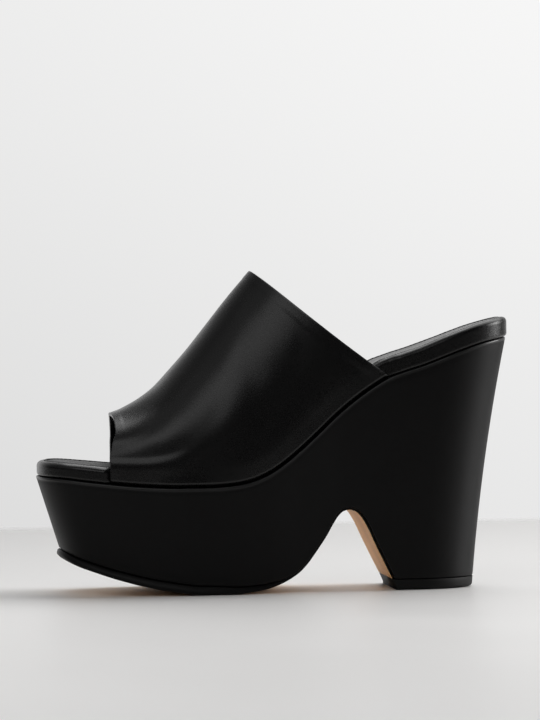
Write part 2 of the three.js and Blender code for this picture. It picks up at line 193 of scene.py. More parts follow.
# Soft troughs (depth above 0) and ridges (below 0) in the upper. Each follows a line in the
# side view, in shares of SHOE_LENGTH from the middle and of HEEL_HEIGHT from the floor. depth
# and spread, below and above the line, are in millimetres; lateral and medial are the
# strengths on the two sides, and fade gives the share of the line at which a fold sets in and
# the share at which it dies away.
FOLDS = (
    # hollow over the footbed's rim
    {
        "line": ((-0.37, 0.552), (-0.3, 0.551), (-0.26, 0.556), (-0.2, 0.585), (-0.15, 0.64)),
        "depth": 0.95,
        "spread": (3, 6.5),
        "lateral": 1,
        "medial": 0.7,
        "fade": (-1, 0.45),
    },
    # crease from the toe opening
    {
        "line": ((-0.36, 0.583), (-0.337, 0.589), (-0.309, 0.606), (-0.279, 0.638), (-0.24, 0.71)),
        "depth": 0.35,
        "spread": (3.2, 3.4),
        "lateral": 1,
        "medial": 0,
        "fade": (-1, 0.45),
    },
    # ridge over that crease
    {
        "line": ((-0.36, 0.615), (-0.33, 0.626), (-0.3, 0.655), (-0.26, 0.72)),
        "depth": -0.1,
        "spread": (3, 3),
        "lateral": 1,
        "medial": 0,
        "fade": (-1, 0.3),
    },
    # hollow under the instep's highlight
    {
        "line": ((-0.25, 0.57), (-0.22, 0.592), (-0.168, 0.65), (-0.13, 0.715), (-0.09, 0.79)),
        "depth": 0.3,
        "spread": (5, 6),
        "lateral": 1,
        "medial": 1,
        "fade": (0.25, 0.65),
    },
    # crease on the inner side
    {
        "line": ((-0.36, 0.62), (-0.29, 0.645), (-0.2, 0.7)),
        "depth": 1,
        "spread": (3.4, 3.4),
        "lateral": 0,
        "medial": 1,
        "fade": (-1, 0.4),
    },
    # valley along the platform's edge
    {
        "line": (
            (-0.27, 0.49), (-0.2, 0.515), (-0.158, 0.537), (-0.117, 0.567), (-0.073, 0.621),
            (-0.029, 0.687), (0.008, 0.765), (0.038, 0.847), (0.06, 0.93), (0.1, 1.08),
        ),
        "depth": 0.75,
        "spread": (7.5, 7.5),
        "lateral": 1,
        "medial": 0.9,
        "fade": (0.3, 0.65),
    },
)


def mix(a, b, t):
    return a + (b - a) * t


def clamp(x):
    return min(1.0, max(0.0, x))


def smooth(x):
    x = clamp(x)
    return x * x * (3 - 2 * x)


def step(x, start, end):
    """A soft step from 0 at start to 1 at end, which may also lie below start."""
    return smooth((x - start) / (end - start))


def line_through(rows, column):
    """A smooth line through a table's rows that never overshoots them."""
    xs = [row[0] for row in rows]
    ys = [row[column] for row in rows]
    last = len(xs) - 1
    steps = [(ys[i + 1] - ys[i]) / (xs[i + 1] - xs[i]) for i in range(last)]
    slopes = [steps[0]]
    for before, after in zip(steps, steps[1:]):
        slopes.append(0 if before * after <= 0 else 2 * before * after / (before + after))
    slopes.append(steps[-1])

    def value(x):
        k = max(0, min(last - 1, bisect_right(xs, x) - 1))
        width = xs[k + 1] - xs[k]
        t = clamp((x - xs[k]) / width)
        s = 1 - t
        return (
            ys[k] * (1 + 2 * t) * s * s
            + ys[k + 1] * t * t * (3 - 2 * t)
            + width * (slopes[k] * t * s * s - slopes[k + 1] * t * t * s)
        )

    return value


rise_of = line_through(TOP_LINE, 1)
underside_of = line_through(UNDERSIDE, 1)
half_of = {LATERAL: line_through(OUTLINE, 1), MEDIAL: line_through(OUTLINE, 2)}
lean_of = line_through(OUTLINE, 3)
sole_depth_of = line_through(SOLE_DEPTH, 1)
footbed_depth_of = line_through(FOOTBED_DEPTH, 1)
ridge_of = line_through(SECTIONS, 1)
crest_of = line_through(SECTIONS, 2)
side_of = line_through(SECTIONS, 3)
shift_of = line_through(SECTIONS, 4)
opening_of = line_through(TOE_OPENING, 1)


def x_at(along):
    return (along - 0.5) * SHOE_LENGTH


def along_at(x):
    return x / SHOE_LENGTH + 0.5


def top_z(x):
    return mix(PLATFORM_HEIGHT, HEEL_HEIGHT, rise_of(along_at(x)))


def steepness(line, x):
    return math.hypot(1, line(x + 0.5) - line(x - 0.5))


def underside_z(x):
    return PLATFORM_HEIGHT * underside_of(along_at(x))


def sole_thickness(x):
    return SOLE_THICKNESS * sole_depth_of(along_at(x))


HEEL_BASE = CAP_THICKNESS + GAP
ARCH_TOP = x_at(0.648)


def wedge_bottom_z(x):
    over_sole = underside_z(x) + (sole_thickness(x) + GAP) * steepness(underside_z, x)
    return max(over_sole, HEEL_BASE) if x > ARCH_TOP else over_sole


def opened(along):
    """How far the outline has opened: 0 at the shoe's two ends, 1 between them."""

    def end(t, power):
        return (1 - (1 - clamp(t)) ** power) ** (1 / power)

    return end(along / TOE_END[0], TOE_END[1]) * end((1 - along) / HEEL_END[0], HEEL_END[1])


def outline(along, side, inset=0):
    """A point of the platform's top outline, moved inwards by inset, as (x, y)."""
    middle = TOE_CENTRE if along < 0.5 else 0
    edge = side * (half_of[side](along) * BALL_WIDTH - inset)
    return x_at(along) + inset * (1 - 2 * along), middle + (edge - middle) * opened(along)


def wall(along, side, z, inset=0):
    """The platform's wall under that point, at a height z, as (x, y)."""
    x, y = outline(along, side, inset)
    down = 1 - z / top_z(x)
    bow = HEEL_BOW * 4 * down * (1 - down) * step(along, HEEL_BOW_FROM, 1)
    lean = side * lean_of(along) * BALL_WIDTH * down * opened(along)
    return x + mix(TOE_LEAN, -HEEL_LEAN, along) * down - bow, y - lean


def crossing(along, line, inset=0):
    """The height where that wall crosses a line of the side view."""
    z = line(outline(along, LATERAL, inset)[0])
    for _ in range(25):
        z = mix(z, line(wall(along, LATERAL, z, inset)[0]), 0.7)
    return z


def halve(low, high, below):
    """The place between low and high where below stops being true."""
    for _ in range(40):
        middle = (low + high) / 2
        if below(middle):
            low = middle
        else:
            high = middle
    return low


def along_of_wall(x, z):
    return halve(0, 1, lambda along: wall(along, LATERAL, z)[0] < x)


BREAST_X = halve(ARCH_TOP, x_at(0.8), lambda x: wedge_bottom_z(x) > HEEL_BASE)
BREAST_ALONG = along_of_wall(BREAST_X, HEEL_BASE)


def stations_to(end):
    """Shares of the length, close together where the outline turns fast."""
    runs = (
        (0.09, 24, "start"),
        (0.5, 44, ""),
        (0.69, 48, ""),
        (BREAST_ALONG, 12, ""),
        (0.86, 14, ""),
        (1 - END_START, 28, "end"),
    )
    places = [END_START]
    for goal, steps, ease in runs:
        start = places[-1]
        for i in range(1, steps + 1):
            t = i / steps
            if ease == "start":
                t = 1 - math.cos(t * math.pi / 2)
            if ease == "end":
                t = math.sin(t * math.pi / 2)
            places.append(mix(start, goal, t))
        if goal >= end:
            break
    return places


# The footbed's rim draws in just in front of the upper and comes out again just behind it.
# The sock follows it in longer curves.
RIM_DRAWS_IN = (opening_of(0) - 0.016, opening_of(0) - 0.002)
RIM_COMES_OUT = (along_at(COLLAR_FOOT[0]) + 0.004, along_at(COLLAR_FOOT[0]) + 0.026)
SOCK_DRAWS_IN = (RIM_DRAWS_IN[1] - 0.06, RIM_DRAWS_IN[1])
SOCK_COMES_OUT = (RIM_COMES_OUT[0], RIM_COMES_OUT[0] + 0.07)


def footbed_stations():
    """The stations of the outline, with more of them where the footbed's rim draws in."""
    extra = [mix(*ends, i / 8) for ends in (RIM_DRAWS_IN, RIM_COMES_OUT) for i in range(9)]
    return sorted({*stations_to(1), *extra})


def inset_under_upper(along, draws_in, comes_out):
    """The inset of a rim that is drawn in between those two shares of the length."""
    under = step(along, *draws_in) * step(along, *reversed(comes_out))
    free = mix(FOOTBED_REVEAL, -FOOTBED_OVERHANG, step(along, OVERHANG_FROM, 1))
    return mix(free, UPPER_REVEAL + UPPER_WALL + GAP, under)


def footbed_inset(along):
    return inset_under_upper(along, RIM_DRAWS_IN, RIM_COMES_OUT)


def sock_inset(along):
    return SOCK_MARGIN + inset_under_upper(along, SOCK_DRAWS_IN, SOCK_COMES_OUT)


def footbed_top_z(x):
    thickness = FOOTBED_THICKNESS * footbed_depth_of(along_at(x))
    return top_z(x) + (GAP + thickness) * steepness(top_z, x)


def surface_z(x, y):
    """The top of the footbed, which tips a little to the inner side behind the ball."""
    along = along_at(x)
    low = TWIST_INNER + step(along, *TWIST_GROWS) * step(along, *TWIST_ENDS)
    tip = mix(1, -low, clamp(y / (TWIST_WIDTH * BALL_WIDTH) + 0.5))
    return footbed_top_z(x) + FOOTBED_TWIST * step(along, *TWIST_SETS_IN) * tip


def cup(along, across):
    """How far the sock sinks from its edge (across 0) to its middle (1), mostly at the heel."""
    grown = mix(SOCK_CUP_TOE, 1, step(along, *SOCK_CUP_GROWS))
    return SOCK_CUP * grown * smooth(across) * opened(along) ** 2


# Making meshes


def add_to_scene(name, data):
    thing = bpy.data.objects.new(name, data)
    bpy.context.scene.collection.objects.link(thing)
    return thing


def finish_mesh(name, shape, materials):
    """Turns a closed bmesh into the object of a piece that rides on the shoe."""
    if not all(edge.is_manifold for edge in shape.edges):
        raise ValueError(f"{name} isn't closed")
    for face in shape.faces:
        face.smooth = True
    mesh = bpy.data.meshes.new(name)
    shape.to_mesh(mesh)
    shape.free()
    for material in materials:
        mesh.materials.append(material)
    piece = add_to_scene(name, mesh)
    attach(piece, "root")
    return piece


def once_round(stations):
    """(along, side) from the toe along the outer side, and back along the inner side."""
    return [(a, LATERAL) for a in stations] + [(a, MEDIAL) for a in reversed(stations)]


def sleeve(stations, rows, place, tint=None, glossy=()):
    """A closed skin round the shoe's outline.

    Each row goes once round the outline, from the middle of the underside, up the wall and
    over to the middle of the top. place(along, side, row) gives a point in millimetres.
    tint(row number, x) gives the material of the faces above a row. The rows numbered in
    glossy are marked for the leather's finish as a pressed, glossier edge.
    """
    turn = once_round(stations)
    shape = bmesh.new()
    bmesh.ops.create_grid(shape, x_segments=len(turn), y_segments=len(rows) - 1, size=0.5)
    edge = shape.verts.layers.float.new("edge")
    levels = {}
    for vertex in shape.verts:
        i = round((vertex.co.x + 0.5) * len(turn)) % len(turn)
        j = round((vertex.co.y + 0.5) * (len(rows) - 1))
        levels[vertex] = j
        vertex[edge] = 0.6 if j in glossy else 0.0
        vertex.co = Vector(place(*turn[i], rows[j])) * MM
    if tint:
        for face in shape.faces:
            row = min(levels[vertex] for vertex in face.verts)
            face.material_index = tint(row, face.calc_center_median().x / MM)
    bmesh.ops.remove_doubles(shape, verts=shape.verts, dist=1e-6)
    bmesh.ops.recalc_face_normals(shape, faces=shape.faces)
    return shape


def between(along, side, z, inset, across):
    """A point of the platform at a height, across of the way from its wall to the middle."""
    x, y = wall(along, side, z, inset)
    other = wall(along, -side, z, inset)[1]
    return x, mix(y, (y + other) / 2, across), z


def rounded(height, segments, width=None):
    """(inset, drop) of the points of a rounded edge, from its side to its top."""
    points = []
    for i in range(segments + 1):
        angle = math.pi / 2 * (1 - i / segments)
        points.append(((width or height) * (1 - math.sin(angle)), height * (1 - math.cos(angle))))
    return points


# Shader maths


def enabled_socket(sockets, key):
    """The socket with that number, or the one in use with that name."""
    if isinstance(key, int):
        return sockets[key]
    return next(socket for socket in sockets if socket.name == key and socket.enabled)


class Signal:
    """A value in a material's node tree, for use in Python expressions."""

    def __init__(self, finish, socket):
        self.finish = finish
        self.socket = socket

    def math(self, operation, a, b):
        return self.finish.node("ShaderNodeMath", {"operation": operation}, {0: a, 1: b})

    def __add__(self, other):
        return self.math("ADD", self, other)

    def __radd__(self, other):
        return self.math("ADD", other, self)

    def __sub__(self, other):
        return self.math("SUBTRACT", self, other)

    def __rsub__(self, other):
        return self.math("SUBTRACT", other, self)

    def __mul__(self, other):
        return self.math("MULTIPLY", self, other)

    def __rmul__(self, other):
        return self.math("MULTIPLY", other, self)

    def output(self, name):
        """Another output of the node that this value comes from."""
        return Signal(self.finish, enabled_socket(self.socket.node.outputs, name))

    def between(self, low, high):
        """0 below low, 1 above high, and a soft step from one to the other."""
        return self.finish.node(
            "ShaderNodeMapRange",
            {"interpolation_type": "SMOOTHSTEP"},
            {"Value": self, "From Min": low, "From Max": high},
        )


class Finish:
    """A surface finish: the node tree of one material or world."""

    def __init__(self, tree):
        self.tree = tree
        tree.nodes.clear()

    def node(self, kind, settings=None, inputs=None, output=0):
        made = self.tree.nodes.new(kind)
        for key, value in (settings or {}).items():
            setattr(made, key, value)
        for key, value in (inputs or {}).items():
            socket = enabled_socket(made.inputs, key)
            if isinstance(value, Signal):
                self.tree.links.new(value.socket, socket)
            else:
                socket.default_value = value
        return Signal(self, enabled_socket(made.outputs, output)) if made.outputs else None

    def place(self):
        return self.node("ShaderNodeTexCoord", output="Object")

    def axis(self, vector, name):
        return self.node("ShaderNodeSeparateXYZ", {}, {"Vector": vector}, output=name)

    def attribute(self, name):
        return self.node("ShaderNodeAttribute", {"attribute_name": name}, output="Fac")

    def stretch(self, where, scale):
        return self.node("ShaderNodeMapping", {}, {"Vector": where, "Scale": scale})

    def speckle(self, where, scale, detail=2):
        inputs = {"Vector": where, "Scale": scale, "Detail": detail}
        return self.node("ShaderNodeTexNoise", {}, inputs, output="Fac")

    def cells(self, where, scale):
        """The distance to the edge of the cell that a point lies in."""
        inputs = {"Vector": where, "Scale": scale}
        settings = {"feature": "DISTANCE_TO_EDGE"}
        return self.node("ShaderNodeTexVoronoi", settings, inputs, output="Distance")

    def blend(self, factor, a, b):
        """A colour between a and b."""
        inputs = {"Factor": factor, "A": a, "B": b}
        return self.node("ShaderNodeMix", {"data_type": "RGBA"}, inputs, output="Result")

    def tones(self, factor, colour, dark, light):
        """Shades of one colour."""
        return self.blend(factor, shade(colour, dark), shade(colour, light))

    def bump(self, height, depth, strength=0.5):
        inputs = {"Height": height, "Distance": depth * MM, "Strength": strength}
        return self.node("ShaderNodeBump", {}, inputs)

    def surface(self, **inputs):
        names = {key.replace("_", " "): value for key, value in inputs.items()}
        shader = self.node("ShaderNodeBsdfPrincipled", {}, names)
        self.node("ShaderNodeOutputMaterial", {}, {"Surface": shader})


def new_material(name):
    material = bpy.data.materials.new(name)
    material.use_nodes = True
    return material, Finish(material.node_tree)


def shade(colour, factor):
    return (*[channel * factor for channel in colour[:3]], 1)


def smooth_leather(name, colour, roughness, grain, depth, specular=0.5, dry_toe=0):
    """Calf leather: fine closed grain, faint pores and slight unevenness of gloss.

    dry_toe is how much rougher it is in front of the toe opening than at the heel.
    """
    material, finish = new_material(name)
    where = finish.place()
    pores = finish.cells(where, 1 / grain).between(0, 0.12)
    fine = finish.speckle(where, 1 / grain, 3)
    broad = finish.speckle(where, 45)
    gloss = broad * 0.08 + fine * 0.1 + (roughness - 0.09)
    if dry_toe:
        gloss = gloss + finish.axis(where, "X").between(-0.02, -0.08) * dry_toe
    finish.surface(
        Base_Color=finish.tones(broad.between(0.35, 0.65), colour, 0.85, 1.15),
        Roughness=gloss,
        Specular_IOR_Level=specular,
        Coat_Weight=finish.attribute("edge"),
        Coat_Roughness=0.3,
        Normal=finish.bump(pores * 0.3 + fine * 0.7, depth, 1),
    )
    return material


def lining_leather(name, colour):
    """Matt lining: suede-like, with a short nap."""
    material, finish = new_material(name)
    where = finish.place()
    nap = finish.speckle(where, 2400, 3)
    finish.surface(
        Base_Color=finish.tones(finish.speckle(where, 70), colour, 0.8, 1.2),
        Roughness=nap * 0.1 + 0.62,
        Specular_IOR_Level=0.3,
        Normal=finish.bump(nap, 0.05),
    )
    return material


def sole_leather(name, colour):
    """Natural sole leather: fibres along the shoe, clouding and a dry surface."""
    material, finish = new_material(name)
    where = finish.place()
    fibres = finish.speckle(finish.stretch(where, (0.35, 1, 1)), 900, 4)
    clouds = finish.speckle(where, 38, 3)
    pits = finish.speckle(where, 1500)
    tone = (clouds * 0.6 + fibres * 0.4).between(0.3, 0.7)
    finish.surface(
        Base_Color=finish.tones(tone, colour, 0.84, 1.1),
        Roughness=fibres * 0.15 + 0.48,
        Specular_IOR_Level=0.4,
        Normal=finish.bump(pits * 0.5 + fibres * 0.5, 0.06),
    )
    return material


def painted_edge(name, colour):
    """Edge ink on cut leather: smooth, with faint lines along the edge."""
    material, finish = new_material(name)
    where = finish.place()
    lines = finish.speckle(finish.stretch(where, (0.12, 0.12, 1)), 1600)
    finish.surface(
        Base_Color=finish.tones(lines, colour, 0.8, 1.25),
        Roughness=finish.speckle(where, 120) * 0.12 + 0.4,
        Specular_IOR_Level=0.16,
        Normal=finish.bump(lines, 0.05),
    )
    return material


def rubber(name, colour):
    """Moulded heel rubber with a fine mould texture."""
    material, finish = new_material(name)
    where = finish.place()
    texture = finish.speckle(where, 1800)
    dust = finish.speckle(where, 90, 3).between(0.4, 0.75)
    finish.surface(
        Base_Color=finish.tones(dust, colour, 0.9, 1.3),
        Roughness=texture * 0.12 + 0.5,
        Specular_IOR_Level=0.16,
        Normal=finish.bump(texture, 0.05),
    )
    return material


def waxed_thread(name, colour):
    """Waxed sewing thread."""
    material, finish = new_material(name)
    twist = finish.speckle(finish.place(), 5200)
    finish.surface(
        Base_Color=finish.tones(twist, colour, 0.7, 1.4),
        Roughness=twist * 0.2 + 0.6,
        Specular_IOR_Level=0.12,
        Normal=finish.bump(twist, 0.04),
    )
    return material


# What a user can change


def colour_setting(name, description, default):
    return bpy.props.FloatVectorProperty(
        name=name, description=description, subtype="COLOR", size=3, min=0, max=1, default=default
    )


def length_setting(name, description, default, low, high, precision=4):
    return bpy.props.FloatProperty(
        name=name,
        description=description,
        unit="LENGTH",
        precision=precision,
        min=low,
        max=high,
        default=default,
    )


def share_setting(name, description, default, low=0.1, high=1):
    return bpy.props.FloatProperty(
        name=name, description=description, subtype="FACTOR", min=low, max=high, default=default
    )


def light_setting(name, description, default, subtype="POWER"):
    return bpy.props.FloatProperty(
        name=name, description=description, subtype=subtype, min=0, default=default
    )


class MuleLeather(bpy.types.PropertyGroup):
    """Colours and grain of the mule's leathers."""

    black: colour_setting(
        "Black leather", "Colour of upper, footbed and wedge", (0.0015, 0.0014, 0.00145)
    )
    tan: colour_setting("Sole leather", "Colour of the natural sole leather", (0.93, 0.58, 0.27))
    upper_gloss: share_setting("Upper roughness", "Roughness of the upper's leather", 0.28)
    wedge_gloss: share_setting("Wedge roughness", "Roughness of the wedge's leather", 0.5)
    grain: length_setting("Grain", "Size of the leather's grain", 0.00075, 0.0002, 0.003, 5)


class MuleUpper(bpy.types.PropertyGroup):
    """The upper's creases and turned edge."""

    creases: share_setting(
        "Creases", "Strength of the soft troughs and ridges in the upper", 1, 0, 2
    )
    turned_edge: length_setting(
        "Turned edge", "Width of the leather turned in along the collar", 0.0046, 0.002, 0.01
    )
    turned_height: length_setting(
        "Turned edge height", "How far the turned edge stands out", 0.00018, 0, 0.001, 5
    )


class MuleFootbed(bpy.types.PropertyGroup):
    """The stitching round the sock."""

    stitch: length_setting("Stitch length", "Length of one stitch", 0.0019, 0.001, 0.006)
    stitch_pitch: length_setting(
        "Stitch spacing", "Distance from stitch to stitch", 0.0026, 0.0015, 0.008
    )
    stitch_margin: length_setting(
        "Stitch margin", "Distance of the stitches from the sock's edge", 0.0015, 0.0005, 0.006
    )
    thread: colour_setting("Thread", "Colour of the sewing thread", (0.002, 0.002, 0.002))


class MuleStage(bpy.types.PropertyGroup):
    """Light and floor of the studio."""

    floor: colour_setting("Floor", "Colour of the floor", (0.8, 0.79, 0.78))
    overhead: light_setting("Overhead light", "Power of the softbox over the shoe", 25)
    front: light_setting("Front light", "Power of the softbox over the camera's left", 3.2)
    side: light_setting("Side light", "Power of the softbox behind the heel", 20)
    backdrop: light_setting(
        "Backdrop", "Brightness of the wall, as the shoe's surfaces reflect it", 0.7, "NONE"
    )
    fill: light_setting(
        "Fill", "Brightness of the studio's ceiling on the toe's side", 0.38, "NONE"
    )


# The pieces


class MULE_OT_wedge(bpy.types.Operator):
    """Covers the platform and heel in one piece of leather with a folded top edge"""

    bl_idname = "mule.wedge"
    bl_label = "Wedge"

    def execute(self, context):
        leather = context.scene.mule_leather
        half_line = 0.3
        rows = [("under", across, 1.2) for across in (1, 0.5, 0)]
        rows += [("low", drop, inset) for inset, drop in reversed(rounded(LOWER_EDGE_ROUND, 3))]
        rows += [("wall", share, 0) for share in (0.02, *[i / 14 for i in range(1, 14)], 0.97)]
        rows += [("high", EDGE_LINE + half_line, 0), ("high", EDGE_LINE, EDGE_LINE_DEPTH)]
        rows += [("high", EDGE_LINE - half_line, 0)]
        rows += [("high", drop, inset) for inset, drop in rounded(EDGE_ROUND, 6)]
        rows += [("over", across, EDGE_ROUND * 2) for across in (0, 0.5, 1)]
        folded = range(len(rows) - 10, len(rows) - 3)
        lower = {}

        def place(along, side, row):
            kind, value, inset = row
            x_top = outline(along, LATERAL, inset)[0]
            if (along, inset) not in lower:
                lower[along, inset] = crossing(along, wedge_bottom_z, inset)
            bottom = lower[along, inset]
            top = top_z(x_top)
            if kind == "under":
                return between(along, side, bottom, inset, value)
            if kind == "low":
                return between(along, side, bottom + value, inset, 0)
            if kind == "wall":
                z = mix(bottom + LOWER_EDGE_ROUND, top - EDGE_LINE - 2 * half_line, value)
                return between(along, side, z, 0, 0)
            if kind == "high":
                return between(along, side, top - value, inset, 0)
            return between(along, side, top, inset, value)

        shape = sleeve(stations_to(1), rows, place, glossy=folded)
        cover = smooth_leather(
            "wedge leather", leather.black, leather.wedge_gloss, leather.grain * 0.8, 0.025, 0.15
        )
        piece = finish_mesh("wedge_cover", shape, [cover])
        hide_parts("wedge")
        return {"FINISHED"}


class MULE_OT_outsole(bpy.types.Operator):
    """Makes the leather sole with its inked edge"""

    bl_idname = "mule.outsole"
    bl_label = "Outsole"

    def execute(self, context):
        leather = context.scene.mule_leather
        rows = [("under", across, 0.7) for across in (1, 0.75, 0.5, 0.25, 0.08, 0)]
        rows += [("side", share, lip) for share, lip in SOLE_EDGE]
        rows += [("over", across, 0) for across in (0, 0.5, 1)]
        edge_row, notch_row = 5, 8

        def place(along, side, row):
            kind, value, lip = row
            share = {"under": 0, "side": value, "over": 1}[kind]
            across = 0 if kind == "side" else value
            inset = mix(-SOLE_LIP * lip, SOLE_REVEAL, step(along, *SOLE_NARROWS))

            def line(x):
                top = underside_z(x) + sole_thickness(x) * steepness(underside_z, x)
                z = mix(underside_z(x), top, share)
                return max(z, HEEL_BASE) if x > ARCH_TOP else z

            return between(along, side, crossing(along, line, inset), inset, across)

        def inked(row, x):
            return row >= (edge_row if x < ARCH_TOP + 2 else notch_row)

        shape = sleeve(stations_to(BREAST_ALONG), rows, place, tint=inked)
        finishes = [
            sole_leather("sole leather", leather.tan),
            painted_edge("edge ink", leather.black),
        ]
        piece = finish_mesh("sole", shape, finishes)
        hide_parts("outsole")
        return {"FINISHED"}


class MULE_OT_heel_cap(bpy.types.Operator):
    """Makes the rubber cap under the heel"""

    bl_idname = "mule.heel_cap"
    bl_label = "Heel cap"

    def execute(self, context):
        front = along_of_wall(BREAST_X - SOLE_THIN, CAP_THICKNESS)
        back = [along for along in stations_to(1) if along > BREAST_ALONG]
        stations = [front, front + 0.004, *back]
        rows = [(0, CAP_BEVEL, across) for across in (1, 0.5, 0.1)]
        for inset, drop in reversed(rounded(CAP_BEVEL, 5)):
            rows.append((drop, inset, 0))
        rows += [(CAP_THICKNESS - drop, inset, 0) for inset, drop in rounded(0.3, 2)]
        rows += [(CAP_THICKNESS, 0.3, across) for across in (0.5, 1)]

        def place(along, side, row):
            z, inset, across = row
            slant = CAP_SLANT * (1 - z / CAP_THICKNESS)
            fade = 1 - clamp((along - front) / 0.02)
            x, y, z = between(along, side, z, inset, across)
            return x + slant * fade, y, z

        shape = sleeve(stations, rows, place)
        piece = finish_mesh("heel_rubber", shape, [rubber("heel rubber", (0.005, 0.0048, 0.0048))])
        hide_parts("heel_cap")
        return {"FINISHED"}


class MULE_OT_footbed(bpy.types.Operator):
    """Makes the padded, leather-wrapped footbed with its rounded rim"""

    bl_idname = "mule.footbed"
    bl_label = "Footbed"

    def execute(self, context):
        leather = context.scene.mule_leather
        rows = [("under", 0, across) for across in (1, 0)]
        rows += [("low", drop, inset) for inset, drop in reversed(rounded(LOWER_ROUND, 4))]
        rows += [("rise", share, 0) for share in (0.1, 0.4, 0.7, 0.95)]
        seat = SOCK_MARGIN + 0.1
        roll = rounded(FOOTBED_ROUND, 9, SOCK_MARGIN - 0.1)
        rows += [("top", drop, inset) for inset, drop in roll]
        rows += [("top", 0.1, SOCK_MARGIN), ("top", SOCK_THICKNESS, seat)]
        rows += [("bed", SOCK_THICKNESS, 0.5), ("bed", SOCK_THICKNESS, 1)]

        def place(along, side, row):
            kind, value, extra = row
            rim = footbed_inset(along)
            widen = (sock_inset(along) - rim) / SOCK_MARGIN
            held = {"top": extra * widen, "low": extra, "bed": seat * widen, "under": LOWER_ROUND}
            inset = rim + held.get(kind, 0)
            x, y = outline(along, side, inset)
            other = outline(along, -side, inset)[1]
            low = top_z(x) + GAP * steepness(top_z, x)
            high = surface_z(x, y)
            if kind == "under":
                return x, mix(y, (y + other) / 2, extra), low
            if kind == "low":
                return x, y, low + value
            if kind == "rise":
                return x, y, mix(low + LOWER_ROUND, high - FOOTBED_ROUND, value)
            if kind == "top":
                return x, y, high - value
            y = mix(y, (y + other) / 2, extra)
            return x, y, surface_z(x, y) - value - cup(along, extra)

        shape = sleeve(footbed_stations(), rows, place)
        wrap = smooth_leather(
            "footbed leather", leather.black, leather.upper_gloss, leather.grain, 0.03, 0.3
        )
        piece = finish_mesh("footbed_wrap", shape, [wrap])
        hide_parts("footbed")
        return {"FINISHED"}


class MULE_OT_sock(bpy.types.Operator):
    """Lays the sock leather in the footbed, sunk along its stitching"""

    bl_idname = "mule.sock"
    bl_label = "Sock"

    def execute(self, context):
        leather = context.scene.mule_leather
        margin = context.scene.mule_footbed.stitch_margin / MM
        lip_and_groove = (
            (0.04 - SOCK_LIP, -0.8),
            (-SOCK_LIP, -0.5),
            (0.1, -0.2),
            (STITCH_GROOVE, -0.05),
            (STITCH_GROOVE, 0.1),
            (SOCK_SUNK + 0.06, 0.35),
            (SOCK_SUNK, 0.7),
        )
        rows = [(SOCK_THICKNESS, 0, across) for across in (1, 0)]
        rows += [(0.1 + drop, inset, 0) for inset, drop in rounded(0.3, 3)]
        rows += [(drop, margin + inset, 0) for drop, inset in lip_and_groove]
        rows += [(SOCK_SUNK, margin + 1, across) for across in (0.1, 0.25, 0.45, 0.7, 1)]

        def place(along, side, row):
            drop, inset, across = row
            inset += sock_inset(along) + GAP
            x, y = outline(along, side, inset)
            other = outline(along, -side, inset)[1]
            y = mix(y, (y + other) / 2, across)
            return x, y, surface_z(x, y) + GAP - drop - cup(along, across)

        shape = sleeve(footbed_stations(), rows, place)
        sheet = smooth_leather(
            "sock leather", leather.black, leather.upper_gloss, leather.grain * 1.2, 0.02, 0.5, 0.3
        )
        piece = finish_mesh("sock_sheet", shape, [sheet])
        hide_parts("sock")
        return {"FINISHED"}


class MULE_OT_stitching(bpy.types.Operator):
    """Sews a row of stitches round the sock"""

    bl_idname = "mule.stitching"
    bl_label = "Stitching"

    def execute(self, context):
        sizes = context.scene.mule_footbed
        path = []
        for along, side in once_round(footbed_stations()):
            inset = sock_inset(along) + GAP + sizes.stitch_margin / MM
            x, y = outline(along, side, inset)
            path.append(Vector((x, y, surface_z(x, y) + GAP - STITCH_SUNK)))
        path.append(path[0])
        lengths = [(b - a).length for a, b in zip(path, path[1:])]
        count = round(sum(lengths) * MM / sizes.stitch_pitch)
        pitch = sum(lengths) / count
        shape = bmesh.new()
        travelled, part = 0.0, 0
        for number in range(count):
            goal = number * pitch
            while travelled + lengths[part] < goal:
                travelled += lengths[part]
                part += 1
            a, b = path[part], path[part + 1]
            middle = a.lerp(b, (goal - travelled) / lengths[part])
            turned = (b - a).normalized().to_track_quat("X", "Z").to_matrix().to_4x4()
            size = Matrix.Diagonal((sizes.stitch / 2 / MM, *STITCH_RADII, 1))
            matrix = Matrix.Scale(MM, 4) @ Matrix.Translation(middle) @ turned @ size
            bmesh.ops.create_icosphere(shape, subdivisions=2, radius=1, matrix=matrix)
        piece = finish_mesh("sock_stitches", shape, [waxed_thread("thread", sizes.thread)])
        return {"FINISHED"}


# The upper's form


def collar_z(x):
    share = (x - COLLAR_TOP[0]) / (COLLAR_FOOT[0] - COLLAR_TOP[0])
    return mix(COLLAR_TOP[1], COLLAR_FOOT[1], share) - COLLAR_SAG * 4 * share * (1 - share)


def upper_ends(around):
    """Where the upper starts at the toe opening and ends at the collar."""
    end = halve(
        COLLAR_TOP[0] - 4,
        COLLAR_FOOT[0] + 4,
        lambda x: last_point(x, around).z < collar_z(x),
    )
    return x_at(opening_of(around)), end


def last_point(x, around):
    """A point outside the last at x: upright beside the footbed, then an arch over the foot."""
    along = along_at(x)
    side = LATERAL if around < 0.5 else MEDIAL
    edge = outline(along, side, UPPER_REVEAL)[1]
    low = top_z(x) + GAP * steepness(top_z, x)
    rim = footbed_top_z(x) - top_z(x)
    way = min(around, 1 - around)
    if way < WALL_SHARE:
        return Vector((x, edge, low + rim * way / WALL_SHARE))
    angle = (way - WALL_SHARE) / (0.5 - WALL_SHARE) * math.pi / 2
    middle = shift_of(along) * BALL_WIDTH
    height = ridge_of(along) * HEEL_HEIGHT - low - rim
    y = middle + (edge - middle) * max(0, math.cos(angle)) ** (2 / crest_of(along))
    return Vector((x, y, low + rim + height * math.sin(angle) ** (2 / side_of(along))))


